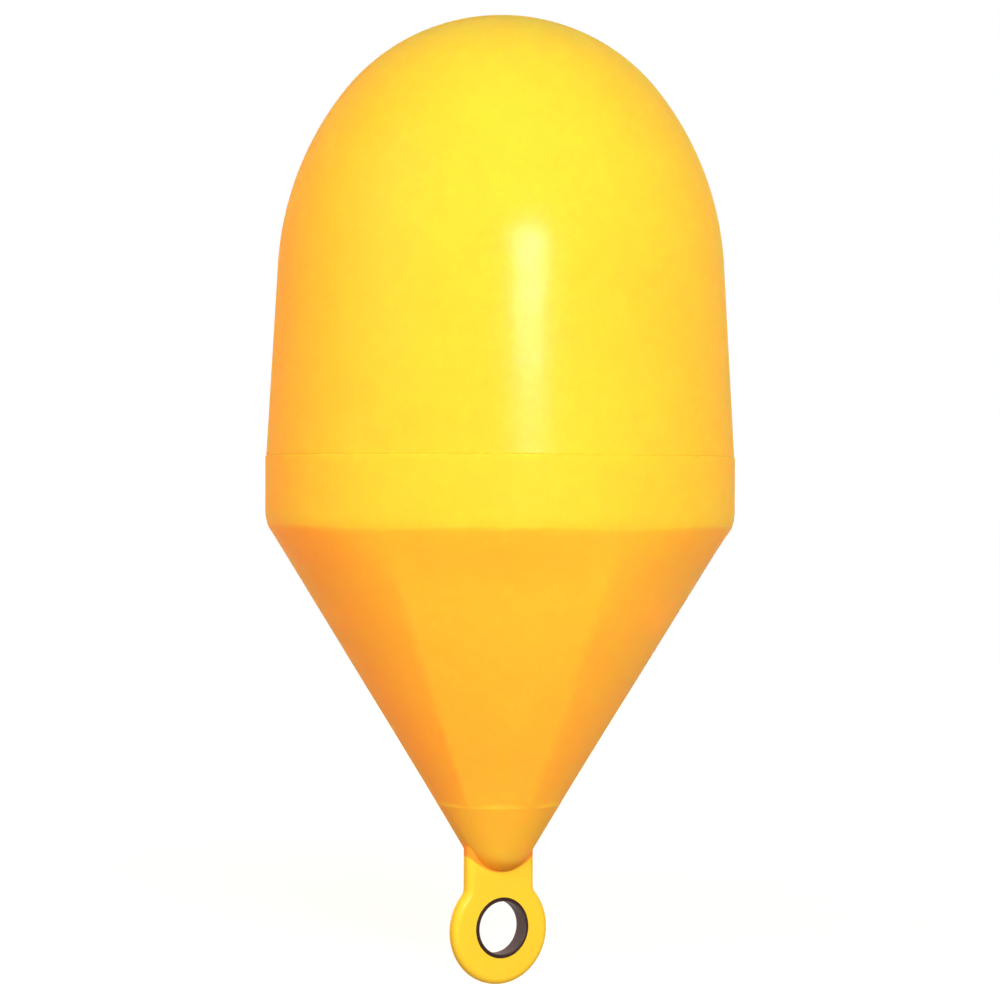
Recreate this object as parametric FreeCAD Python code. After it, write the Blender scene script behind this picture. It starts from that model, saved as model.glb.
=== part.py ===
import FreeCAD, Part
import math
import os

from FreeCAD import Vector

# Marker buoy, 400 mm class: a domed upper shell seated in the banded, six-sided lower shell, with a
# bushed mooring eye under its nose.  Millimetres.  Z = 0 is the working waterline, the lower edge
# of the band; +Z is up; the mooring eye's bore runs along Y.

# ---- driving dimensions ------------------------------------------------------------------------
band_radius = 200.0          # outside of the band, the widest place
band_height = 58.5           # from the waterline up to the joint between the shells
band_edge_round = 8.0        # lower outer edge of the band, over the flats
wall = 4.0                   # both shells

barrel_step = 0.7            # the barrel's foot stands this far inside the band
barrel_taper_deg = 3.24      # the barrel leans in by this angle going up
barrel_height = 162.5        # from the joint up to where the shoulder starts
dome_rise = 375.0            # from the joint to the crown
crown_spread_deg = 52.0      # the crown's arc reaches this far round from the top

joint_chamfer = 1.0          # V groove round the joint
spigot_length = 14.0         # skirt of the upper shell inside the band
spigot_clearance = 0.2       # radial, filled by the weld
spigot_thickness = 3.8
spigot_lead = 8.0            # height over which the wall thickens to the spigot

sides = 6                    # crowned flats round the cone
first_ridge_deg = 90.0       # a ridge stands on +Y
ridge_inset = 1.7            # the ridges start this far inside the band's face, at the waterline
cone_half_angle_deg = 31.5
crown_turn_deg = 36.0        # each flat is crowned: it turns this far from ridge to ridge
ridge_round_share = 0.2      # radius along a ridge, as a share of the ridge's reach
ridge_blend = 40.0           # radius where a ridge runs up into the band
ridge_blend_drop = 0.35      # the blend starts this much lower than a tangent one
cove = 2.5                   # chamfer in the corner under the band

flats_end_reach = 55.0       # the flats end where the ridges have come in to this reach
ledge_height = 3.5           # sloping ledge at the flats' lower end
ledge_step = 0.6             # the nose stands this far outside the ridges
nose_radius = 32.0           # ball at the tip of the nose

lug_thickness = 14.0
lug_edge_round = 6.0
tab_half_width = 32.8
tab_fillet = 10.0            # between the tab and the eye
eye_radius = 46.5
eye_gap = 3.2                # between the nose's tip and the top of the eye's outside
bore_rise = 2.0              # the bore sits this far above the eye's centre

bushing_outer_radius = 26.0
bushing_inner_radius = 22.5
bushing_stand = 1.0          # each end stands this far out of the lug
bushing_lip_round = 1.5

plug_side_deg = 0.0          # the flat that carries the filler plug
plug_drop = 70.0             # below the waterline
plug_stem_radius = 9.0
plug_flange_radius = 15.0
plug_flange_thickness = 2.5
plug_seat_depth = 0.8        # flat seat sunk into the crowned flat
plug_seat_margin = 1.0       # round the flange
plug_stem_length = 9.0
plug_slot_width = 3.0
plug_slot_depth = 1.5

# ---- worked-out places -------------------------------------------------------------------------
AXIS = Vector(0, 0, 1)
ORIGIN = Vector(0, 0, 0)
TINY = 1e-6
half_side_deg = 180.0 / sides
corner_turn_deg = half_side_deg - crown_turn_deg / 2.0     # half of the turn at a ridge
crown_share = math.cos(math.radians(half_side_deg)) + math.tan(math.radians(crown_turn_deg) / 4.0) / 2.0
cone_slope = math.tan(math.radians(cone_half_angle_deg))
flat_slope = cone_slope * (ridge_round_share + (1.0 - ridge_round_share) * crown_share)
crown_top = band_height + dome_rise
barrel_foot_radius = band_radius - barrel_step
ridge_start = band_radius - ridge_inset
flats_end = -(ridge_start - flats_end_reach) / cone_slope
ledge_end = flats_end - ledge_height
nose_lip_radius = flats_end_reach - ledge_height * cone_slope + ledge_step
nose_ball_z = (
    ledge_end
    - nose_lip_radius / cone_slope
    + nose_radius / math.sin(math.radians(cone_half_angle_deg))
)
nose_tip_z = nose_ball_z - nose_radius
eye_centre_z = nose_tip_z - eye_gap - eye_radius
bore_centre_z = eye_centre_z + bore_rise


def at(radius, z):
    """A point of a profile in the XZ plane."""
    return Vector(radius, 0, z)


def line(a, b):
    return Part.LineSegment(a, b).toShape()


def arc(a, middle, b):
    return Part.Arc(a, middle, b).toShape()


def arc_about(centre, radius, start_deg, end_deg):
    """Arc in the XZ plane; angles are from +X towards +Z."""
    points = []
    for share in (0.0, 0.5, 1.0):
        angle = math.radians(start_deg + share * (end_deg - start_deg))
        points.append(centre + Vector(radius * math.cos(angle), 0, radius * math.sin(angle)))
    return arc(*points)


def polygon(points):
    """Straight edges from each point to the next."""
    return [line(a, b) for a, b in zip(points, points[1:])]


def closed_wire(edges):
    return Part.Wire(Part.sortEdges(edges)[0])


def revolved(edges):
    """Solid of revolution about Z of a closed profile."""
    return Part.Face(closed_wire(edges)).revolve(ORIGIN, AXIS, 360)


# ---- upper shell -------------------------------------------------------------------------------
def dome_line(offset):
    """Crown and shoulder arcs moved inwards by offset, with their top and their lower end.

    Their two radii come from the barrel's upper end and the crown's height, so that the arcs are
    tangent to each other, to the barrel and to the level top.
    """
    meet = math.radians(crown_spread_deg)
    end = math.radians(90.0 - barrel_taper_deg)
    out = barrel_radius(band_height + barrel_height, 0.0)
    up = dome_rise - barrel_height
    crown_out, crown_up = math.sin(meet), 1.0 - math.cos(meet)
    shoulder_out, shoulder_up = math.sin(end) - math.sin(meet), math.cos(meet) - math.cos(end)
    scale = crown_out * shoulder_up - crown_up * shoulder_out
    crown_radius = (out * shoulder_up - up * shoulder_out) / scale
    shoulder_radius = (up * crown_out - out * crown_up) / scale

    crown_centre = at(0, crown_top - crown_radius)
    shift = shoulder_radius - crown_radius
    shoulder_centre = crown_centre - at(shift * math.sin(meet), shift * math.cos(meet))
    meet_deg = 90.0 - crown_spread_deg
    crown = arc_about(crown_centre, crown_radius - offset, 90.0, meet_deg)
    shoulder = arc_about(shoulder_centre, shoulder_radius - offset, meet_deg, barrel_taper_deg)
    top = at(0, crown_top - offset)
    foot = max((v.Point for v in shoulder.Vertexes), key=lambda p: p.x)
    return [crown, shoulder], top, foot


def barrel_radius(z, offset):
    """Radius of the tapered barrel at a height."""
    taper = math.radians(barrel_taper_deg)
    return barrel_foot_radius - (z - band_height) * math.tan(taper) - offset / math.cos(taper)


def upper_shell():
    outer, outer_top, outer_foot = dome_line(0.0)
    inner, inner_top, inner_foot = dome_line(wall)
    joint = band_height
    spigot_outer = band_radius - wall - spigot_clearance
    spigot_inner = spigot_outer - spigot_thickness
    lead_top = joint + 2.0 * spigot_lead
    edges = outer + inner
    edges += polygon([
        outer_foot,
        at(barrel_radius(joint + joint_chamfer, 0.0), joint + joint_chamfer),
        at(barrel_foot_radius - joint_chamfer, joint),
        at(spigot_outer, joint),
        at(spigot_outer, joint - spigot_length),
        at(spigot_inner, joint - spigot_length),
        at(spigot_inner, joint + spigot_lead),
        at(barrel_radius(lead_top, wall), lead_top),
        inner_foot,
    ])
    edges.append(line(inner_top, outer_top))
    return revolved(edges)


# ---- lower shell -------------------------------------------------------------------------------
def ridge_reach(z):
    """Distance of a ridge from the axis at a height."""
    return ridge_start + z * cone_slope


def ridge_round(z):
    return ridge_round_share * ridge_reach(z)


def crown_distance(reach, rounding):
    """Distance of the middle of a crowned flat from the axis."""
    return rounding + (reach - rounding) * crown_share


def flat_distance(z):
    return crown_distance(ridge_reach(z), ridge_round(z))


def crowned_polygon(reach, rounding, z):
    """Six crowned flats joined by six tangent arcs, those arcs' outermost points at reach."""
    arcs = []
    for k in range(sides):
        ridge_deg = first_ridge_deg + 2.0 * half_side_deg * k
        ridge = math.radians(ridge_deg)
        inset = reach - rounding
        centre = Vector(inset * math.cos(ridge), inset * math.sin(ridge), z)
        points = []
        for turn_deg in (-corner_turn_deg, 0.0, corner_turn_deg):
            turn = math.radians(ridge_deg + turn_deg)
            points.append(centre + Vector(rounding * math.cos(turn), rounding * math.sin(turn), 0))
        middle = crown_distance(reach, rounding)
        middle_turn = math.radians(ridge_deg + half_side_deg)
        points.append(Vector(middle * math.cos(middle_turn), middle * math.sin(middle_turn), z))
        arcs.append(points)
    edges = []
    for this, following in zip(arcs, arcs[1:] + arcs[:1]):
        edges.append(arc(this[0], this[1], this[2]))
        edges.append(arc(this[2], this[3], following[0]))
    return Part.Wire(edges)


def six_sided(sections):
    """Ruled solid through crowned polygons, each given as (reach, rounding, z)."""
    return Part.makeLoft([crowned_polygon(*section) for section in sections], True, True)


def ridge_limit():
    """Everything inside the band's face and the arc that carries a ridge up into it."""
    half_turn = math.radians(cone_half_angle_deg) / 2.0
    corner_z = (band_radius - ridge_start) / cone_slope
    start_z = corner_z + ridge_blend * math.tan(half_turn) - ridge_blend_drop
    centre = at(band_radius - ridge_blend, start_z)
    blend = arc_about(centre, ridge_blend, 0.0, -cone_half_angle_deg)
    low = min((v.Point for v in blend.Vertexes), key=lambda p: p.z)
    edges = [blend]
    edges += polygon([
        low,
        at(low.x, ledge_end),
        at(0, ledge_end),
        at(0, band_height),
        at(band_radius, band_height),
        at(band_radius, start_z),
    ])
    return revolved(edges)


def band_block():
    """Solid disc of the band with its lower edge rounded and its top edge chamfered."""
    centre = at(band_radius - band_edge_round, band_edge_round)
    edges = [arc_about(centre, band_edge_round, 0.0, -90.0)]
    edges += polygon([
        at(band_radius - band_edge_round, 0),
        at(0, 0),
        at(0, band_height),
        at(band_radius - joint_chamfer, band_height),
        at(band_radius, band_height - joint_chamfer),
        at(band_radius, band_edge_round),
    ])
    return revolved(edges)


def nose_block():
    """Ledge, cone and ball below the flats."""
    half_angle = math.radians(cone_half_angle_deg)
    ball = at(0, nose_ball_z)
    cone_foot = ball + at(nose_radius * math.cos(half_angle), -nose_radius * math.sin(half_angle))
    edges = [arc_about(ball, nose_radius, -cone_half_angle_deg, -90.0)]
    edges += polygon([
        ball - at(0, nose_radius),
        at(0, flats_end),
        at(flat_distance(flats_end) - ledge_step, flats_end),
        at(nose_lip_radius, ledge_end),
        cone_foot,
    ])
    return revolved(edges)


def lower_cavity():
    """Inside of the band and of the six-sided cone, with a thicker corner between them."""
    side_wall = wall / math.cos(math.radians(cone_half_angle_deg))
    corner_reach = ridge_start - side_wall - wall
    corner_round = ridge_round(0.0) - wall
    floor_z = flats_end + wall
    band_inside = Part.makeCylinder(band_radius - wall, band_height, Vector(0, 0, wall), AXIS)
    cone_inside = six_sided([
        (corner_reach, corner_round, 2.0 * wall),
        (corner_reach, corner_round, 0.0),
        (ridge_reach(floor_z) - side_wall, ridge_round(floor_z) - wall, floor_z),
    ])
    return band_inside.fuse(cone_inside)


def plug_frame():
    """Seat of the filler plug, sunk into its flat, and the seat's outward direction."""
    turn = math.radians(plug_side_deg)
    lean = math.atan(flat_slope)
    distance = flat_distance(-plug_drop)
    surface = Vector(distance * math.cos(turn), distance * math.sin(turn), -plug_drop)
    outward = Vector(math.cos(lean) * math.cos(turn), math.cos(lean) * math.sin(turn), -math.sin(lean))
    return surface - outward * plug_seat_depth, outward


def lower_shell():
    cone = six_sided([
        (ridge_reach(0.0), ridge_round(0.0), 0.0),
        (ridge_reach(ledge_end), ridge_round(ledge_end), ledge_end),
    ])
    flare = six_sided([
        (ridge_reach(0.0) + cove, ridge_round(0.0), 0.0),
        (ridge_reach(-cove), ridge_round(-cove), -cove),
    ])
    ridges_top = six_sided([
        (ridge_reach(band_edge_round) + cove, ridge_round(band_edge_round), band_edge_round),
        (ridge_reach(0.0) + cove, ridge_round(0.0), 0.0),
    ])
    faceted = cone.fuse([flare, ridges_top]).common(ridge_limit())
    outside = band_block().fuse([faceted, nose_block()])
    seat, outward = plug_frame()
    hole_start = seat - outward * plug_stem_length
    plug_hole = Part.makeCylinder(plug_stem_radius, plug_stem_length + wall, hole_start, outward)
    plug_seat = Part.makeCylinder(plug_flange_radius + plug_seat_margin, wall, seat, outward)
    return outside.cut([lower_cavity(), plug_hole, plug_seat]).removeSplitter()


# ---- filler plug -------------------------------------------------------------------------------
def filler_plug():
    """Slotted disc on the flat with a stem through the wall."""
    seat, outward = plug_frame()
    flange = Part.makeCylinder(plug_flange_radius, plug_flange_thickness, seat, outward)
    stem_end = seat - outward * plug_stem_length
    stem = Part.makeCylinder(plug_stem_radius, plug_stem_length, stem_end, outward)
    slot = Part.makeBox(2.0 * plug_flange_radius, plug_slot_width, plug_slot_depth)
    slot.translate(Vector(-plug_flange_radius, -plug_slot_width / 2.0, 0))
    slot.Placement = FreeCAD.Placement(
        seat + outward * (plug_flange_thickness - plug_slot_depth),
        FreeCAD.Rotation(AXIS, outward),
    ).multiply(slot.Placement)
    return flange.fuse(stem).cut(slot).removeSplitter()


# ---- mooring lug and bushing -------------------------------------------------------------------
def lug_outline(top_z):
    """Tab and eye in the XZ plane, with a fillet where they meet."""
    eye = at(0, eye_centre_z)
    fillet_rise = math.sqrt((eye_radius + tab_fillet) ** 2 - (tab_half_width + tab_fillet) ** 2)
    side_deg = math.degrees(math.atan2(fillet_rise, tab_half_width + tab_fillet))
    edges = [arc_about(eye, eye_radius, side_deg, -180.0 - side_deg)]
    for side in (1.0, -1.0):
        centre = eye + at(side * (tab_half_width + tab_fillet), fillet_rise)
        on_tab = centre - at(side * tab_fillet, 0)
        on_eye = eye + (centre - eye) * (eye_radius / (eye_radius + tab_fillet))
        middle_deg = math.radians(180.0 + side_deg / 2.0)
        middle = centre + at(side * tab_fillet * math.cos(middle_deg), tab_fillet * math.sin(middle_deg))
        edges.append(arc(on_tab, middle, on_eye))
        edges.append(line(at(side * tab_half_width, top_z), on_tab))
    edges.append(line(at(-tab_half_width, top_z), at(tab_half_width, top_z)))
    return closed_wire(edges)


def mooring_lug(shell):
    """Plate with rounded edges; its top is a saddle that fits the nose."""
    top_z = (ledge_end + nose_ball_z) / 2.0
    face = Part.Face(lug_outline(top_z))
    plate = face.extrude(Vector(0, lug_thickness, 0))
    plate.translate(Vector(0, -lug_thickness / 2.0, 0))
    rims = []
    for edge in plate.Edges:
        box = edge.BoundBox
        if box.YLength < TINY and box.ZMin < top_z - TINY:
            rims.append(edge)
    plate = plate.makeFillet(lug_edge_round, rims)
    bore_start = Vector(0, -lug_thickness, bore_centre_z)
    bore = Part.makeCylinder(bushing_outer_radius, 2.0 * lug_thickness, bore_start, Vector(0, 1, 0))
    return plate.cut([bore, shell])


def eye_bushing():
    """Tube with rounded lips, pressed into the lug."""
    half_length = lug_thickness / 2.0 + bushing_stand
    tube = Part.makeCylinder(bushing_outer_radius, 2.0 * half_length)
    tube = tube.cut(Part.makeCylinder(bushing_inner_radius, 2.0 * half_length))
    lips = [edge for edge in tube.Edges if edge.Closed and edge.BoundBox.ZLength < TINY]
    tube = tube.makeFillet(bushing_lip_round, lips)
    tube.translate(Vector(0, 0, -half_length))
    tube.rotate(ORIGIN, Vector(1, 0, 0), 90)
    tube.translate(Vector(0, 0, bore_centre_z))
    return tube


def main():
    os.makedirs("parts", exist_ok=True)
    shell = lower_shell()
    nodes = {
        "upper_shell": upper_shell(),
        "lower_shell": shell,
        "filler_plug": filler_plug(),
        "mooring_lug": mooring_lug(shell),
        "eye_bushing": eye_bushing(),
    }
    for name, shape in nodes.items():
        shape.exportStep(os.path.join("parts", name + ".step"))
        print(name, "solids", len(shape.Solids), "cm3", round(shape.Volume / 1000.0, 1), shape.isValid())


main()
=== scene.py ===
"""Looks of the marker buoy: moulded yellow shells, mooring lug, dark bushing, studio and camera."""

import math

import bmesh
import bpy
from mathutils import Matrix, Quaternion, Vector, noise

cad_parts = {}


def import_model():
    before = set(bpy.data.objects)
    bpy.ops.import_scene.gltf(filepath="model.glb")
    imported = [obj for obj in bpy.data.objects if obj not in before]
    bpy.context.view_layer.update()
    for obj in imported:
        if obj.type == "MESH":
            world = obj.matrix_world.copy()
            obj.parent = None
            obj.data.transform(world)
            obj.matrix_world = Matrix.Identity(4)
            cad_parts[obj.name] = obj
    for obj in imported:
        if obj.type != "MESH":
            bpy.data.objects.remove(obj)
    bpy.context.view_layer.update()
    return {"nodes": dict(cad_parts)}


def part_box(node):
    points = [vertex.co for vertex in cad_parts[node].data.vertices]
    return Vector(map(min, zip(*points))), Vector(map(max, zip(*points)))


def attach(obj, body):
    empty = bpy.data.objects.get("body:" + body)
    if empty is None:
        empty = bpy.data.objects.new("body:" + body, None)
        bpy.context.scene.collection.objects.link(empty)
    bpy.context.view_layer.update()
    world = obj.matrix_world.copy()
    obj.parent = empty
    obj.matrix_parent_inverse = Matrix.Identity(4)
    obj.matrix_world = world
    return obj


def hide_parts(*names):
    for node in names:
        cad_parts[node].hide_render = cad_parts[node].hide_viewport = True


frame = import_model()

MM = 0.001

# ---- places read from the frame ----------------------------------------------------------------
LOWER_LOW, LOWER_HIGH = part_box("lower_shell")
BUSHING_LOW, BUSHING_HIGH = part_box("eye_bushing")
BAND_RADIUS = min(LOWER_HIGH.x, LOWER_HIGH.y)
JOINT_Z = LOWER_HIGH.z
CROWN_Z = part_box("upper_shell")[1].z
NOSE_TIP_Z = LOWER_LOW.z
EYE_BOTTOM_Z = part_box("mooring_lug")[0].z
BORE_Z = (BUSHING_LOW.z + BUSHING_HIGH.z) / 2.0

# ---- sizes of the moulded shape, in metres -----------------------------------------------------
# z = 0 is the waterline, at the band's lower edge
BARREL_STEP = 0.7 * MM        # the barrel's foot stands this far inside the band
BARREL_TAPER = math.radians(3.24)
BARREL_HEIGHT = 162.5 * MM
CROWN_SPREAD = math.radians(52.0)
JOINT_CHAMFER = 0.8 * MM      # under the barrel's foot
JOINT_GAP = 0.05 * MM         # from the joint down to the band's upper edge
JOINT_LIP = 0.5 * MM          # chamfer of that edge
BAND_EDGE_SOFT = 4.0 * MM     # fillet from the band down into the flats
BAND_SAG = 2.8 * MM           # the band's lower edge hangs this much lower between the ridges
BAND_SAG_TURN = math.radians(12.0)        # it grows over this turn from a ridge
BAND_SAG_WHOLE = 8.0 * MM     # it is whole up to this height above and below the edge,
BAND_SAG_GONE = 45.0 * MM     # and gone at this one
SIDES = 6
FIRST_RIDGE = math.radians(90.0)
RIDGE_INSET = 1.7 * MM        # the ridges' line passes this far inside the band at z = 0
CONE_ANGLE = math.radians(31.5)
CONE_SLOPE = math.tan(CONE_ANGLE)
CROWN_TURN = math.radians(36.0)           # the surface turns this much across one crowned flat
RIDGE_ROUND_SHARE = 0.2       # radius of a ridge as a share of its reach
RIDGE_BLEND = 40.0 * MM       # arc that carries a ridge up into the band
RIDGE_BLEND_DROP = 0.35 * MM
RIDGE_SOFT = 0.4 * MM
RIDGE_SOFT_REACH = 5.0 * MM
FLATS_RISE = 80.0 * MM        # over this height the flats rise to meet the band
FLATS_RISE_SHARE = 0.8        # share of their depth that they lose there
FLATS_END_REACH = 55.0 * MM
FLATS_FADE = 15.0 * MM        # over this height the flats ease out towards the ledge
FLATS_EASE = 0.27             # share of their depth that they lose there
LEDGE_HEIGHT = 3.5 * MM
LEDGE_SOFT = 0.5 * MM
NOSE_RADIUS = 32.0 * MM

HALF_SIDE = math.pi / SIDES
CROWN_SHARE = math.cos(HALF_SIDE) + math.tan(CROWN_TURN / 4.0) / 2.0
RIDGE_START = BAND_RADIUS - RIDGE_INSET
FLATS_END = -(RIDGE_START - FLATS_END_REACH) / CONE_SLOPE
LEDGE_END = FLATS_END - LEDGE_HEIGHT
NOSE_LIP = FLATS_END_REACH - LEDGE_HEIGHT * CONE_SLOPE
NOSE_BALL_Z = NOSE_TIP_Z + NOSE_RADIUS

# ---- unevenness of the moulded skin ------------------------------------------------------------
SWELL_DEPTH = 0.25 * MM
SWELL_CLEAR = 8.0 * MM        # it fades out this close to the joint and the ledge
SWELL_SLOW = (9.0, 0.6)       # waves to the metre, and their share of the depth
SWELL_QUICK = (22.0, 0.4)
SWELL_SHIFT = Vector((7, 3, 5))

# ---- rows of the mesh --------------------------------------------------------------------------
SAME_POINT = 1e-7             # points of a profile nearer than this are one
TINY = 1e-6
EDGE_HOLD = 0.15 * MM         # extra rows this far from an edge keep its shading narrow
BEND_TOP = 16.0 * MM          # close rows run from here down through the bend under the band
BEND_END = -12.0 * MM
LEDGE_ROWS_ABOVE = 1.0 * MM   # and again from here above the ledge
LEDGE_ROWS_BELOW = 1.5 * MM   # to here below it
CROWN_STEPS = 40
SHOULDER_STEPS = 32
BARREL_STEPS = 26
CHAMFER_STEPS = 4
LIP_STEPS = 3
BAND_STEPS = 8
BEND_STEPS = 40
CONE_STEPS = 36
LEDGE_STEPS = 12
NOSE_STEPS = 8
BALL_STEPS = 14
SECTOR_STEPS = 22             # from a ridge to the middle of a flat
SECTOR_CROWDING = 1.6         # above 1, the steps are closer at the ridge


def arc_points(centre, radius, start, end, count):
    """Points (r, z) of an arc, angles from +r towards +z."""
    points = []
    for k in range(count + 1):
        angle = start + (end - start) * k / count
        points.append((centre[0] + radius * math.cos(angle), centre[1] + radius * math.sin(angle)))
    return points


def line_points(a, b, count):
    return [(a[0] + (b[0] - a[0]) * k / count, a[1] + (b[1] - a[1]) * k / count)
            for k in range(count + 1)]


def joined(*runs):
    """Runs of profile points, one after the other, without the repeated ends."""
    points = []
    for run in runs:
        for point in run:
            if not points or math.dist(point, points[-1]) > SAME_POINT:
                points.append(point)
    return points


def smooth_step(value):
    value = min(max(value, 0.0), 1.0)
    return value * value * (3.0 - 2.0 * value)


def smooth_max(a, b, soft):
    """The larger of two radii, with a fillet of about soft where they cross."""
    near = max(soft - abs(a - b), 0.0) / soft
    return max(a, b) + near * near * soft / 4.0


def smooth_min(a, b, soft):
    return -smooth_max(-a, -b, soft)


def ring_mesh(name, angles, rows):
    """Closed mesh from rows of rings: rows[k] = (list of radii or one radius, z)."""
    mesh = bmesh.new()
    rings = []
    for radii, z in rows:
        if not isinstance(radii, list) and radii < SAME_POINT:
            rings.append([mesh.verts.new((0, 0, z))])
            continue
        ring = []
        for k, angle in enumerate(angles):
            radius = radii[k] if isinstance(radii, list) else radii
            ring.append(mesh.verts.new((radius * math.cos(angle), radius * math.sin(angle), z)))
        rings.append(ring)
    count = len(angles)
    for upper, lower in zip(rings, rings[1:]):
        for k in range(count):
            n = (k + 1) % count
            if len(upper) == 1:
                mesh.faces.new((upper[0], lower[k], lower[n]))
            elif len(lower) == 1:
                mesh.faces.new((upper[k], lower[0], upper[n]))
            else:
                mesh.faces.new((upper[k], lower[k], lower[n], upper[n]))
    bmesh.ops.remove_doubles(mesh, verts=mesh.verts, dist=TINY)
    bmesh.ops.recalc_face_normals(mesh, faces=mesh.faces)
    for face in mesh.faces:
        face.smooth = True
    data = bpy.data.meshes.new(name)
    mesh.to_mesh(data)
    mesh.free()
    piece = bpy.data.objects.new(name, data)
    bpy.context.scene.collection.objects.link(piece)
    return piece


def sag(piece):
    """Lets the band's lower edge hang a little between the ridges."""
    for vertex in piece.data.vertices:
        place = vertex.co
        height = abs(place.z)
        if height < BAND_SAG_GONE:
            past = (math.atan2(place.y, place.x) - FIRST_RIDGE) % (2.0 * HALF_SIDE)
            turn = min(past, 2.0 * HALF_SIDE - past)
            share = smooth_step((BAND_SAG_GONE - height) / (BAND_SAG_GONE - BAND_SAG_WHOLE))
            place.z -= BAND_SAG * smooth_step(turn / BAND_SAG_TURN) * share


def uneven(piece):
    """Presses the moulded skin in by a slow swell; the joint and the ledge stay sharp."""
    for vertex in piece.data.vertices:
        place = vertex.co.copy()
        keep = min(abs(place.z - JOINT_Z), abs(place.z - LEDGE_END)) / SWELL_CLEAR
        level = noise.noise(place * SWELL_SLOW[0]) * SWELL_SLOW[1]
        level += noise.noise(place * SWELL_QUICK[0] + SWELL_SHIFT) * SWELL_QUICK[1]
        inward = Vector((-place.x, -place.y, 0.0))
        inward = inward.normalized() if inward.length > TINY else Vector((0, 0, -1))
        vertex.co = place + inward * SWELL_DEPTH * (0.5 + 0.5 * level) * min(keep, 1.0)


# ---- hull --------------------------------------------------------------------------------------
def dome_rows():
    """Crown arc, shoulder arc and tapered barrel down to the groove round the joint."""
    foot = BAND_RADIUS - BARREL_STEP
    out = foot - BARREL_HEIGHT * math.tan(BARREL_TAPER)
    up = CROWN_Z - JOINT_Z - BARREL_HEIGHT
    end = math.pi / 2.0 - BARREL_TAPER
    crown_out, crown_up = math.sin(CROWN_SPREAD), 1.0 - math.cos(CROWN_SPREAD)
    shoulder_out = math.sin(end) - math.sin(CROWN_SPREAD)
    shoulder_up = math.cos(CROWN_SPREAD) - math.cos(end)
    scale = crown_out * shoulder_up - crown_up * shoulder_out
    crown_radius = (out * shoulder_up - up * shoulder_out) / scale
    shoulder_radius = (up * crown_out - out * crown_up) / scale
    shift = shoulder_radius - crown_radius
    crown_centre = (0.0, CROWN_Z - crown_radius)
    shoulder_centre = (-shift * math.sin(CROWN_SPREAD),
                       crown_centre[1] - shift * math.cos(CROWN_SPREAD))
    meet = math.pi / 2.0 - CROWN_SPREAD
    crown = arc_points(crown_centre, crown_radius, math.pi / 2.0, meet, CROWN_STEPS)
    shoulder = arc_points(shoulder_centre, shoulder_radius, meet, BARREL_TAPER, SHOULDER_STEPS)
    groove_top = (foot - JOINT_CHAMFER * math.tan(BARREL_TAPER), JOINT_Z + JOINT_CHAMFER)
    groove_foot = (foot - JOINT_CHAMFER, JOINT_Z)
    hold = (groove_top[0] - EDGE_HOLD * math.tan(BARREL_TAPER), groove_top[1] + EDGE_HOLD)
    barrel = line_points(shoulder[-1], hold, BARREL_STEPS)
    return joined(crown, shoulder, barrel, line_points(groove_top, groove_foot, CHAMFER_STEPS))


def ridge_reach(z):
    return RIDGE_START + z * CONE_SLOPE


def polygon_radius(turn, reach, rounding):
    """Radius of the crowned six-sided section in the direction turn away from a ridge."""
    inset = reach - rounding
    half_crown = CROWN_TURN / 2.0
    out = inset * math.cos(HALF_SIDE)
    along = inset * math.sin(HALF_SIDE)
    end = math.atan2(along + rounding * math.sin(half_crown),
                     out + rounding * math.cos(half_crown))
    if turn < HALF_SIDE - end:
        return inset * math.cos(turn) + math.sqrt(rounding ** 2 - (inset * math.sin(turn)) ** 2)
    crown_radius = rounding + along / math.sin(half_crown)
    centre = out - (crown_radius - rounding) * math.cos(half_crown)
    aside = HALF_SIDE - turn
    return centre * math.cos(aside) + math.sqrt(crown_radius ** 2 - (centre * math.sin(aside)) ** 2)


def ridge_limit(z):
    """Arc that carries a ridge up into the band, and its tangent below."""
    start = RIDGE_INSET / CONE_SLOPE + RIDGE_BLEND * math.tan(CONE_ANGLE / 2.0) - RIDGE_BLEND_DROP
    drop = max(start - z, 0.0)
    arc_drop = min(drop, RIDGE_BLEND * math.sin(CONE_ANGLE))
    arc_in = RIDGE_BLEND - math.sqrt(RIDGE_BLEND ** 2 - arc_drop ** 2)
    return BAND_RADIUS - arc_in - (drop - arc_drop) * CONE_SLOPE


def flats_ease(z):
    """Share of their depth that the flats lose near the band and near the ledge."""
    rise = max(1.0 + z / FLATS_RISE, 0.0)
    fade = smooth_step((FLATS_END + FLATS_FADE - z) / FLATS_FADE)
    return FLATS_RISE_SHARE * rise * rise + FLATS_EASE * fade


def cone_radius(turn, z):
    """Flats and ridges, and their fillets up into the band."""
    radius = polygon_radius(turn, ridge_reach(z), RIDGE_ROUND_SHARE * ridge_reach(z))
    radius += flats_ease(z) * (ridge_reach(z) - radius)
    radius = smooth_min(radius, BAND_RADIUS, BAND_EDGE_SOFT)
    soft = RIDGE_SOFT * smooth_step(-z / RIDGE_SOFT_REACH)
    return smooth_min(radius, ridge_limit(z), max(soft, TINY))


def ledge_radius(z):
    """Sloping ledge at the flats' lower end, then the cone of the nose."""
    rounding = RIDGE_ROUND_SHARE * FLATS_END_REACH
    flat = rounding + (FLATS_END_REACH - rounding) * CROWN_SHARE
    flat += FLATS_EASE * (FLATS_END_REACH - flat)
    if z > LEDGE_END:
        return flat + (NOSE_LIP - flat) * (FLATS_END - z) / LEDGE_HEIGHT
    return NOSE_LIP - (LEDGE_END - z) * CONE_SLOPE


def foot_radius(turn, z):
    """The cone's foot, where the flats and the ridges run out on the ledge."""
    return smooth_max(ledge_radius(z), cone_radius(turn, z), LEDGE_SOFT)


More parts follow.
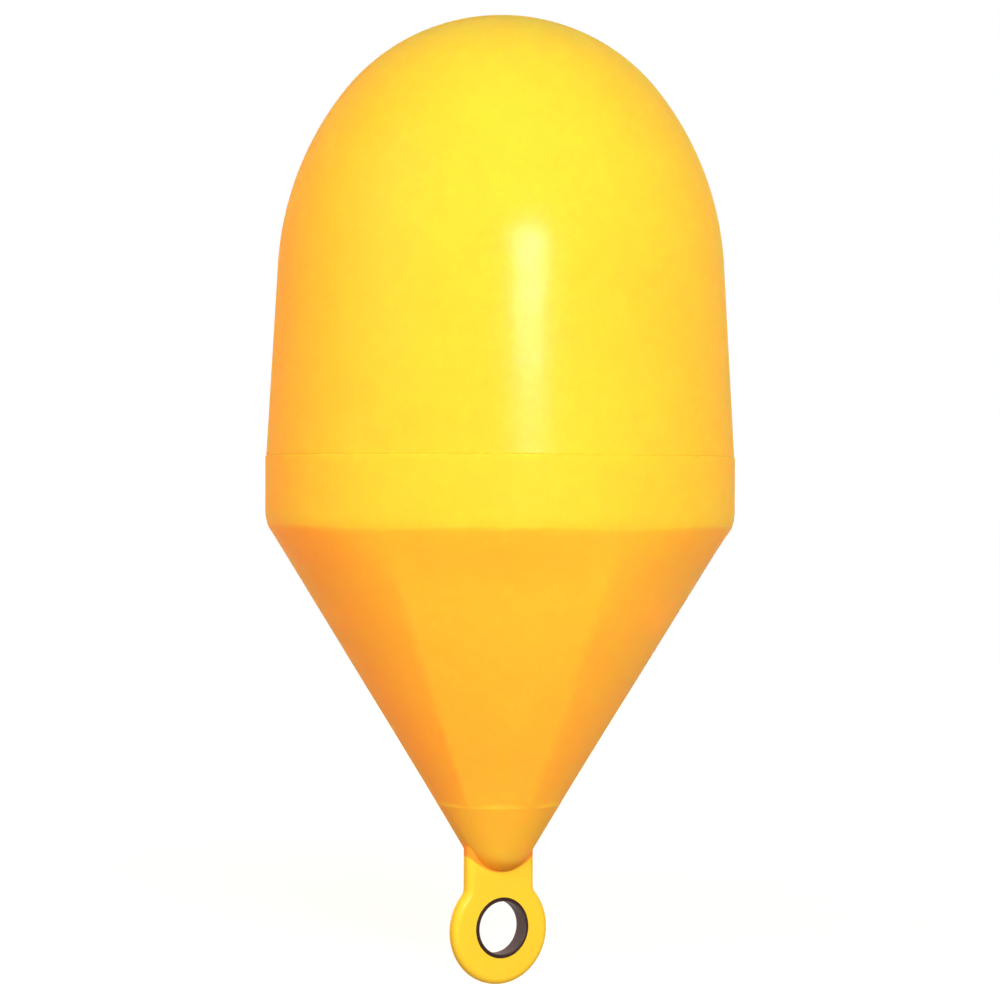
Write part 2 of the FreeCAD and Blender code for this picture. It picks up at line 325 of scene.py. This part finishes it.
def hull():
    """The moulded skin of both shells in one closed mesh, top to bottom in rows of rings."""
    turns = [HALF_SIDE * (k / SECTOR_STEPS) ** SECTOR_CROWDING for k in range(SECTOR_STEPS + 1)]
    sector = turns + [2.0 * HALF_SIDE - t for t in reversed(turns[1:-1])]
    angles, from_ridge = [], []
    for side in range(SIDES):
        for t in sector:
            angles.append(FIRST_RIDGE + 2.0 * HALF_SIDE * side + t)
            from_ridge.append(min(t, 2.0 * HALF_SIDE - t))

    rows = dome_rows()
    lip_top = (BAND_RADIUS - JOINT_LIP, JOINT_Z - JOINT_GAP)
    lip_foot = (BAND_RADIUS, JOINT_Z - JOINT_GAP - JOINT_LIP)
    rows += line_points(lip_top, lip_foot, LIP_STEPS)
    band_top = (BAND_RADIUS, lip_foot[1] - EDGE_HOLD)
    rows += line_points(band_top, (BAND_RADIUS, BEND_TOP), BAND_STEPS)

    ledge_top, ledge_foot = FLATS_END + LEDGE_ROWS_ABOVE, LEDGE_END - LEDGE_ROWS_BELOW
    for start, end, count, radius in ((BEND_TOP, BEND_END, BEND_STEPS, cone_radius),
                                      (BEND_END, ledge_top, CONE_STEPS, cone_radius),
                                      (ledge_top, ledge_foot, LEDGE_STEPS, foot_radius)):
        for k in range(1, count + 1):
            z = start + (end - start) * k / count
            rows.append(([radius(t, z) for t in from_ridge], z))

    ball_edge = (NOSE_RADIUS * math.cos(CONE_ANGLE),
                 NOSE_BALL_Z - NOSE_RADIUS * math.sin(CONE_ANGLE))
    nose = line_points((ledge_radius(ledge_foot), ledge_foot), ball_edge, NOSE_STEPS)[1:]
    ball = arc_points((0.0, NOSE_BALL_Z), NOSE_RADIUS, -CONE_ANGLE, -math.pi / 2.0, BALL_STEPS)
    piece = ring_mesh("hull_skin", angles, rows + joined(nose, ball))
    sag(piece)
    uneven(piece)
    return piece


# ---- colours and surfaces ----------------------------------------------------------------------
WHITE = (1.0, 1.0, 1.0)
SHELL_BASE = (0.96, 0.632, 0.036)
SHELL_DEEP = (0.96, 0.592, 0.033)
LUG_BASE = (1.0, 0.66, 0.034)
LUG_DEEP = (1.0, 0.61, 0.032)
PLUG_BASE = (0.98, 0.60, 0.034)
PLUG_DEEP = (0.98, 0.55, 0.034)
SPECK_YELLOW = (0.92, 0.52, 0.03)
SPECK_SHARE = 0.5
RUBBED_YELLOW = (1.0, 0.72, 0.06)
RUBBED_SHARE = 0.22
CONE_SHADE_ORANGE = (0.88, 0.510, 0.036)         # painted shade: the cone deepens to this orange from the band down to CONE_SHADE_Z, as it faces further down
CONE_SHADE_SHARE = 0.7
CONE_SHADE_Z = -0.26
# painted shade: deep orange for the shaded underside of the nose, laid over its edge and the top of
# the lug
SHADE_LAP_ORANGE = (1.0, 0.33, 0.025)
LAP_REACH = 32.8 * MM         # painted shade: the orange of the nose's shaded underside laps over the lug, down to LAP_DROP below its tip in the middle, and LAP_RISE higher at LAP_REACH to either side
LAP_RISE = 15.0 * MM          # in the middle, and LAP_RISE higher at LAP_REACH to either side
LAP_DROP = 0.4 * MM
LAP_LIMIT = 1.3               # its edge rises to this many times LAP_RISE and no further
SHADE_LAP_ON_NOSE = (1.0 * MM, 15.0 * MM, 0.7, 0.0)    # heights above that edge, and the shares there
SHADE_LAP_ON_LUG = (-0.5 * MM, 0.5 * MM, 0.0, 1.0)

# layers of the surface: scale, detail and roughness of the noise, then the levels it is kept to
MOTTLE = (9.0, 3.0, 0.55, 0.32, 0.68)
MOTTLE_SHARE = 0.65
FINE = (55.0, 3.0, 0.6, 0.35, 0.7)
FINE_SHARE = 0.35
SPECKS = (700.0, 1.0, 0.5, 0.66, 0.72)
RUB_MARKS = (1.0, 4.0, 0.65, 0.60, 0.74)
RUB_STRETCH = (34.0, 34.0, 5.0)
PATCHES = (160.0, 4.0, 0.65, 0.3, 0.7)

# relief: scale, detail and roughness of the noise
GRAIN = (520.0, 2.0, 0.6)
GRAIN_DEPTH = 0.035 * MM
RIPPLE = (38.0, 2.0, 0.5)
RIPPLE_DEPTH = 0.35 * MM

ROUGHNESS = 0.74
ROUGHER_FINE = 0.08
ROUGHER_MARKS = 0.10
PLASTIC_IOR = 1.5
BASE_GLOSS = 0.05             # specular level of the plastic itself, which is nearly matt
COAT_SHARE = 0.12             # thin gloss skin: a high index keeps its reflection even to the edges
COAT_IOR = 1.8
COAT_ROUGHNESS = 0.24
SHELL_REACH = (2.5, 0.010, 0.005)         # how far red, green and blue travel in the shells
NOSE_GLOW = 0.3               # share of that light at the nose's tip, and the height to its whole
NOSE_GLOW_RISE = 0.12

BUSHING_BROWN = (0.022, 0.006, 0.004)
BORE_SHEEN_BROWN = (0.11, 0.072, 0.070)
BUSHING_GLOSS = 0.25
BUSHING_ROUGHNESS = 0.4
BUSHING_ROUGHER = 0.25        # more than that in the patches
BUSHING_GRAIN = (420.0, 3.0, 0.6)
BUSHING_GRAIN_DEPTH = 0.06 * MM
BORE_SHEEN_LEAST = 0.4            # painted sheen in the bore: this much, and by BORE_SHEEN_PATCHES more in patches
BORE_SHEEN_PATCHES = 0.6
BORE_RADIUS = 22.5 * MM
BORE_EDGE = (0.3 * MM, 1.2 * MM)          # past its radius the painted sheen ends over this range


class Nodes:
    """Short hand for building the node tree of a world or a material."""

    def __init__(self, owner):
        owner.use_nodes = True
        self.tree = owner.node_tree
        self.where = self.tree.nodes.new("ShaderNodeTexCoord").outputs
        self.place = self.where["Object"]

    def feed(self, socket, value):
        """Links a socket to the one given, or sets its value."""
        if isinstance(value, bpy.types.NodeSocket):
            self.tree.links.new(value, socket)
        elif socket.type == "RGBA":
            socket.default_value = (*value, 1.0)
        else:
            socket.default_value = value

    def fill(self, node, **values):
        for name, value in values.items():
            self.feed(node.inputs[name.replace("_", " ")], value)

    def add(self, kind, **values):
        node = self.tree.nodes.new(kind)
        self.fill(node, **values)
        return node

    def add_in_order(self, kind, *values):
        node = self.tree.nodes.new(kind)
        for socket, value in zip(node.inputs, values):
            self.feed(socket, value)
        return node

    def math(self, operation, *values):
        node = self.add_in_order("ShaderNodeMath", *values)
        node.operation = operation
        return node.outputs[0]

    def parts(self, vector):
        return self.add("ShaderNodeSeparateXYZ", Vector=vector).outputs

    def ramp(self, source, low, high, to_low=0.0, to_high=1.0, smooth=True):
        node = self.add("ShaderNodeMapRange")
        node.interpolation_type = "SMOOTHSTEP" if smooth else "LINEAR"
        self.fill(node, Value=source, From_Min=low, From_Max=high, To_Min=to_low, To_Max=to_high)
        return node.outputs["Result"]

    def seen_share(self):
        """1 for rays that show the background itself: camera, glossy and transmission rays."""
        ray = self.add("ShaderNodeLightPath").outputs
        seen = self.math("MAXIMUM", ray["Is Camera Ray"], ray["Is Glossy Ray"])
        return self.math("MAXIMUM", seen, ray["Is Transmission Ray"])


class Surface(Nodes):
    """Short hand for a material with the principled shader."""

    def __init__(self, name):
        self.material = bpy.data.materials.new(name)
        super().__init__(self.material)
        self.shader = self.tree.nodes["Principled BSDF"]

    def set(self, **values):
        self.fill(self.shader, **values)

    def noise(self, scale, detail, rough, place=None):
        return self.add("ShaderNodeTexNoise", Vector=place or self.place,
                        Scale=scale, Detail=detail, Roughness=rough).outputs["Fac"]

    def layer(self, scale, detail, rough, low, high, place=None):
        return self.ramp(self.noise(scale, detail, rough, place), low, high)

    def stretched(self, scale):
        return self.add("ShaderNodeMapping", Vector=self.place, Scale=scale).outputs[0]

    def mix(self, share, first, second):
        node = self.add("ShaderNodeMix")
        node.data_type = "RGBA"
        self.fill(node, Factor=share, A=first, B=second)
        return node.outputs["Result"]

    def bump(self, height, depth, under=None):
        node = self.add("ShaderNodeBump", Height=height, Distance=depth)
        if under:
            self.fill(node, Normal=under)
        return node.outputs[0]


def shade_lap(n, low, high, to_low, to_high):
    """Ramp over the height above the arc to which the nose's painted shade laps over the lug."""
    parts = n.parts(n.place)
    aside = n.math("DIVIDE", parts["X"], LAP_REACH)
    rise = n.math("MINIMUM", n.math("MULTIPLY", aside, aside), LAP_LIMIT)
    above_tip = n.math("SUBTRACT", parts["Z"], NOSE_TIP_Z - LAP_DROP)
    above = n.math("SUBTRACT", above_tip, n.math("MULTIPLY", rise, LAP_RISE))
    return n.ramp(above, low, high, to_low, to_high)


def moulded_yellow(name, base, deep, reach=None, shade_lapped=False):
    """Glossy moulded polyethylene: slow mottling, specks, faint rub marks and a grained skin; on
    the hull, painted shade deepens the cone and the nose, and on the lug painted shade laps over
    its top.
    """
    n = Surface(name)
    mottle, fine = n.layer(*MOTTLE), n.layer(*FINE)
    marks = n.layer(*RUB_MARKS, n.stretched(RUB_STRETCH))
    blend = n.math("ADD", n.math("MULTIPLY", mottle, MOTTLE_SHARE),
                   n.math("MULTIPLY", fine, FINE_SHARE))
    colour = n.mix(blend, base, deep)
    colour = n.mix(n.math("MULTIPLY", n.layer(*SPECKS), SPECK_SHARE), colour, SPECK_YELLOW)
    colour = n.mix(n.math("MULTIPLY", marks, RUBBED_SHARE), colour, RUBBED_YELLOW)
    if reach:
        height = n.parts(n.place)["Z"]
        # painted shade: the cone more orange towards the nose, where it faces down
        colour = n.mix(n.ramp(height, CONE_SHADE_Z, 0.0, CONE_SHADE_SHARE, 0.0), colour, CONE_SHADE_ORANGE)
        # painted shade on the nose next to the lug
        colour = n.mix(shade_lap(n, *SHADE_LAP_ON_NOSE), colour, SHADE_LAP_ORANGE)
        glow = n.ramp(height, NOSE_TIP_Z, NOSE_TIP_Z + NOSE_GLOW_RISE, NOSE_GLOW, 1.0)
        n.set(Subsurface_Weight=glow, Subsurface_Radius=reach, Subsurface_Scale=1.0)
    elif shade_lapped:
        # painted shade laid over the top of the lug, under the nose
        colour = n.mix(shade_lap(n, *SHADE_LAP_ON_LUG), colour, SHADE_LAP_ORANGE)
    rough = n.math("ADD", n.math("MULTIPLY", fine, ROUGHER_FINE), ROUGHNESS)
    rough = n.math("ADD", n.math("MULTIPLY", marks, ROUGHER_MARKS), rough)
    bump = n.bump(n.noise(*RIPPLE), RIPPLE_DEPTH, n.bump(n.noise(*GRAIN), GRAIN_DEPTH))
    n.set(Base_Color=colour, Roughness=rough, Normal=bump, IOR=PLASTIC_IOR,
          Specular_IOR_Level=BASE_GLOSS, Coat_Weight=COAT_SHARE, Coat_IOR=COAT_IOR,
          Coat_Roughness=COAT_ROUGHNESS, Coat_Normal=bump)
    return n.material


def bushing_dark():
    """Dark brown plastic bushing: nearly black lips, and a painted sheen of greyer brown in the
    bore.
    """
    n = Surface("bushing_dark")
    parts = n.parts(n.place)
    up = n.math("SUBTRACT", parts["Z"], BORE_Z)
    squares = n.math("ADD", n.math("MULTIPLY", up, up), n.math("MULTIPLY", parts["X"], parts["X"]))
    bore = n.ramp(n.math("SQRT", squares), *(BORE_RADIUS + edge for edge in BORE_EDGE), 1.0, 0.0)
    patches = n.layer(*PATCHES)
    bore_sheen = n.math("ADD", n.math("MULTIPLY", patches, BORE_SHEEN_PATCHES), BORE_SHEEN_LEAST)
    # painted sheen: the bore lighter and greyer, more so in patches
    colour = n.mix(n.math("MULTIPLY", bore, bore_sheen), BUSHING_BROWN, BORE_SHEEN_BROWN)
    rough = n.math("ADD", n.math("MULTIPLY", patches, BUSHING_ROUGHER), BUSHING_ROUGHNESS)
    n.set(Base_Color=colour, Roughness=rough, Specular_IOR_Level=BUSHING_GLOSS,
          Normal=n.bump(n.noise(*BUSHING_GRAIN), BUSHING_GRAIN_DEPTH))
    return n.material


# ---- studio ------------------------------------------------------------------------------------
ROOM_LOW = 0.0                # brightness of the room at the horizon and overhead
ROOM_HIGH = 0.03
FLOOR_HALF = 40.0
FLOOR_GAP = 0.5 * MM
FLOOR_COLOUR = (0.28, 0.28, 0.28)
FLOOR_GLOW = 0.78
FLOOR_GLOW_START = 1.2        # from here out the floor brightens to the plain background
FLOOR_GLOW_END = 3.2

LAMP_AIM = Vector((0, 0, 0.05))
ORANGE_LIGHT = (1.0, 0.30, 0.12)
WARM_LIGHT = (1.0, 0.70, 0.52)
# degrees right of the camera, degrees up, distance, size, brightness, colour, shows in the gloss
LAMPS = {
    "key": (14.0, 15.5, 2.6, (0.60, 0.40), 55.0, WHITE, True),
    "front": (0.0, 24.0, 3.4, (3.2, 2.6), 3.1, WHITE, False),
    "fill_left": (-60.0, 30.0, 3.4, (2.4, 2.4), 1.0, WHITE, True),
    "warm_left": (-75.0, -1.0, 3.4, (2.0, 0.5), 5.0, ORANGE_LIGHT, False),
    "back": (180.0, 18.0, 3.4, (2.4, 1.6), 7.0, WARM_LIGHT, False),
    "back_left": (-150.0, 10.0, 3.4, (2.0, 1.6), 7.5, WARM_LIGHT, False),
    "back_right": (150.0, 10.0, 3.4, (2.0, 1.6), 6.0, WARM_LIGHT, False),
    "low_right": (135.0, -1.0, 3.4, (2.0, 0.5), 8.0, WARM_LIGHT, False),
}

CAMERA_TURN = math.radians(-31.0)         # the camera stands left of the lug's face, which is -y
CAMERA_ROLL = math.radians(0.25)
CAMERA_DISTANCE = 2.68
CAMERA_Z = 0.030
CAMERA_FAR = 100.0
AIM_Z = 0.0215
VIEW_WIDTH = 0.8535           # width of the picture at the buoy
SENSOR_MM = 36.0


def view_direction(turn, rise):
    """Direction from the buoy, turned right of the camera and raised above the horizon."""
    azimuth = CAMERA_TURN + turn
    level = math.cos(rise)
    return Vector((math.sin(azimuth) * level, -math.cos(azimuth) * level, math.sin(rise)))


def camera():
    data = bpy.data.cameras.new("camera")
    data.sensor_width = SENSOR_MM
    data.lens = data.sensor_width * CAMERA_DISTANCE / VIEW_WIDTH
    data.clip_end = CAMERA_FAR
    obj = bpy.data.objects.new("camera", data)
    bpy.context.scene.collection.objects.link(obj)
    obj.location = view_direction(0.0, 0.0) * CAMERA_DISTANCE + Vector((0, 0, CAMERA_Z))
    aim = Vector((0, 0, AIM_Z)) - obj.location
    facing = aim.to_track_quat("-Z", "Y") @ Quaternion((0, 0, 1), CAMERA_ROLL)
    obj.rotation_euler = facing.to_euler()
    bpy.context.scene.camera = obj


def softbox(name, turn, rise, distance, size, radiance, colour, in_gloss):
    """Rectangular lamp aimed at the middle of the buoy; its power follows from its brightness."""
    data = bpy.data.lights.new(name, "AREA")
    data.shape = "RECTANGLE"
    data.size, data.size_y = size
    data.energy = radiance * size[0] * size[1] * math.pi
    data.color = colour
    obj = bpy.data.objects.new(name, data)
    bpy.context.scene.collection.objects.link(obj)
    obj.location = LAMP_AIM + view_direction(math.radians(turn), math.radians(rise)) * distance
    obj.rotation_euler = (LAMP_AIM - obj.location).to_track_quat("-Z", "Y").to_euler()
    obj.visible_glossy = in_gloss
    return obj


def shine_past(lamps, *nodes):
    """Lamps whose light the small fittings don't stop, so the shells glow evenly behind them."""
    fittings = bpy.data.collections.new("fittings")
    for node in nodes:
        fittings.objects.link(frame["nodes"][node])
    for member in fittings.collection_objects:
        member.light_linking.link_state = "EXCLUDE"
    for lamp in lamps:
        lamp.light_linking.blocker_collection = fittings


def world():
    """White where the background shows, and a nearly dark room as light."""
    studio = bpy.data.worlds.new("studio")
    n = Nodes(studio)
    height = n.parts(n.where["Generated"])["Z"]
    room = n.tree.nodes["Background"]
    n.fill(room, Color=WHITE, Strength=n.ramp(height, 0.0, 1.0, ROOM_LOW, ROOM_HIGH, smooth=False))
    white = n.add("ShaderNodeBackground", Color=WHITE, Strength=1.0)
    mix = n.add_in_order("ShaderNodeMixShader", n.seen_share(), room.outputs[0], white.outputs[0])
    n.fill(n.tree.nodes["World Output"], Surface=mix.outputs[0])
    bpy.context.scene.world = studio


def floor():
    """Pale floor under the eye: it keeps the buoy's shadow and runs into the white background."""
    mesh = bpy.data.meshes.new("floor")
    corners = ((-1, -1), (1, -1), (1, 1), (-1, 1))
    height = EYE_BOTTOM_Z - FLOOR_GAP
    mesh.from_pydata([(x * FLOOR_HALF, y * FLOOR_HALF, height) for x, y in corners],
                     [], [(0, 1, 2, 3)])
    obj = bpy.data.objects.new("floor", mesh)
    bpy.context.scene.collection.objects.link(obj)
    material = bpy.data.materials.new("pale_floor")
    n = Nodes(material)
    n.tree.nodes.remove(n.tree.nodes["Principled BSDF"])
    reach = n.add_in_order("ShaderNodeVectorMath", n.place)
    reach.operation = "LENGTH"
    level = n.ramp(reach.outputs["Value"], FLOOR_GLOW_START, FLOOR_GLOW_END, FLOOR_GLOW, 1.0)
    matt = n.add("ShaderNodeBsdfDiffuse", Color=FLOOR_COLOUR)
    glow = n.add("ShaderNodeEmission", Color=WHITE,
                 Strength=n.math("MULTIPLY", n.seen_share(), level))
    both = n.add_in_order("ShaderNodeAddShader", matt.outputs[0], glow.outputs[0])
    n.fill(n.tree.nodes["Material Output"], Surface=both.outputs[0])
    mesh.materials.append(material)


def main():
    piece = hull()
    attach(piece, "root")
    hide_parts("upper_shell", "lower_shell")
    yellow = moulded_yellow("moulded_yellow", SHELL_BASE, SHELL_DEEP, reach=SHELL_REACH)
    piece.data.materials.append(yellow)
    lug_yellow = moulded_yellow("lug_yellow", LUG_BASE, LUG_DEEP, shade_lapped=True)
    plug_yellow = moulded_yellow("plug_yellow", PLUG_BASE, PLUG_DEEP)
    for node, material in (("mooring_lug", lug_yellow), ("filler_plug", plug_yellow),
                           ("eye_bushing", bushing_dark())):
        data = frame["nodes"][node].data
        data.materials.clear()
        data.materials.append(material)
    world()
    floor()
    lamps = [softbox(name, *values) for name, values in LAMPS.items()]
    shine_past(lamps, "mooring_lug", "filler_plug")
    camera()
    bpy.context.scene.view_settings.view_transform = "Standard"


main()
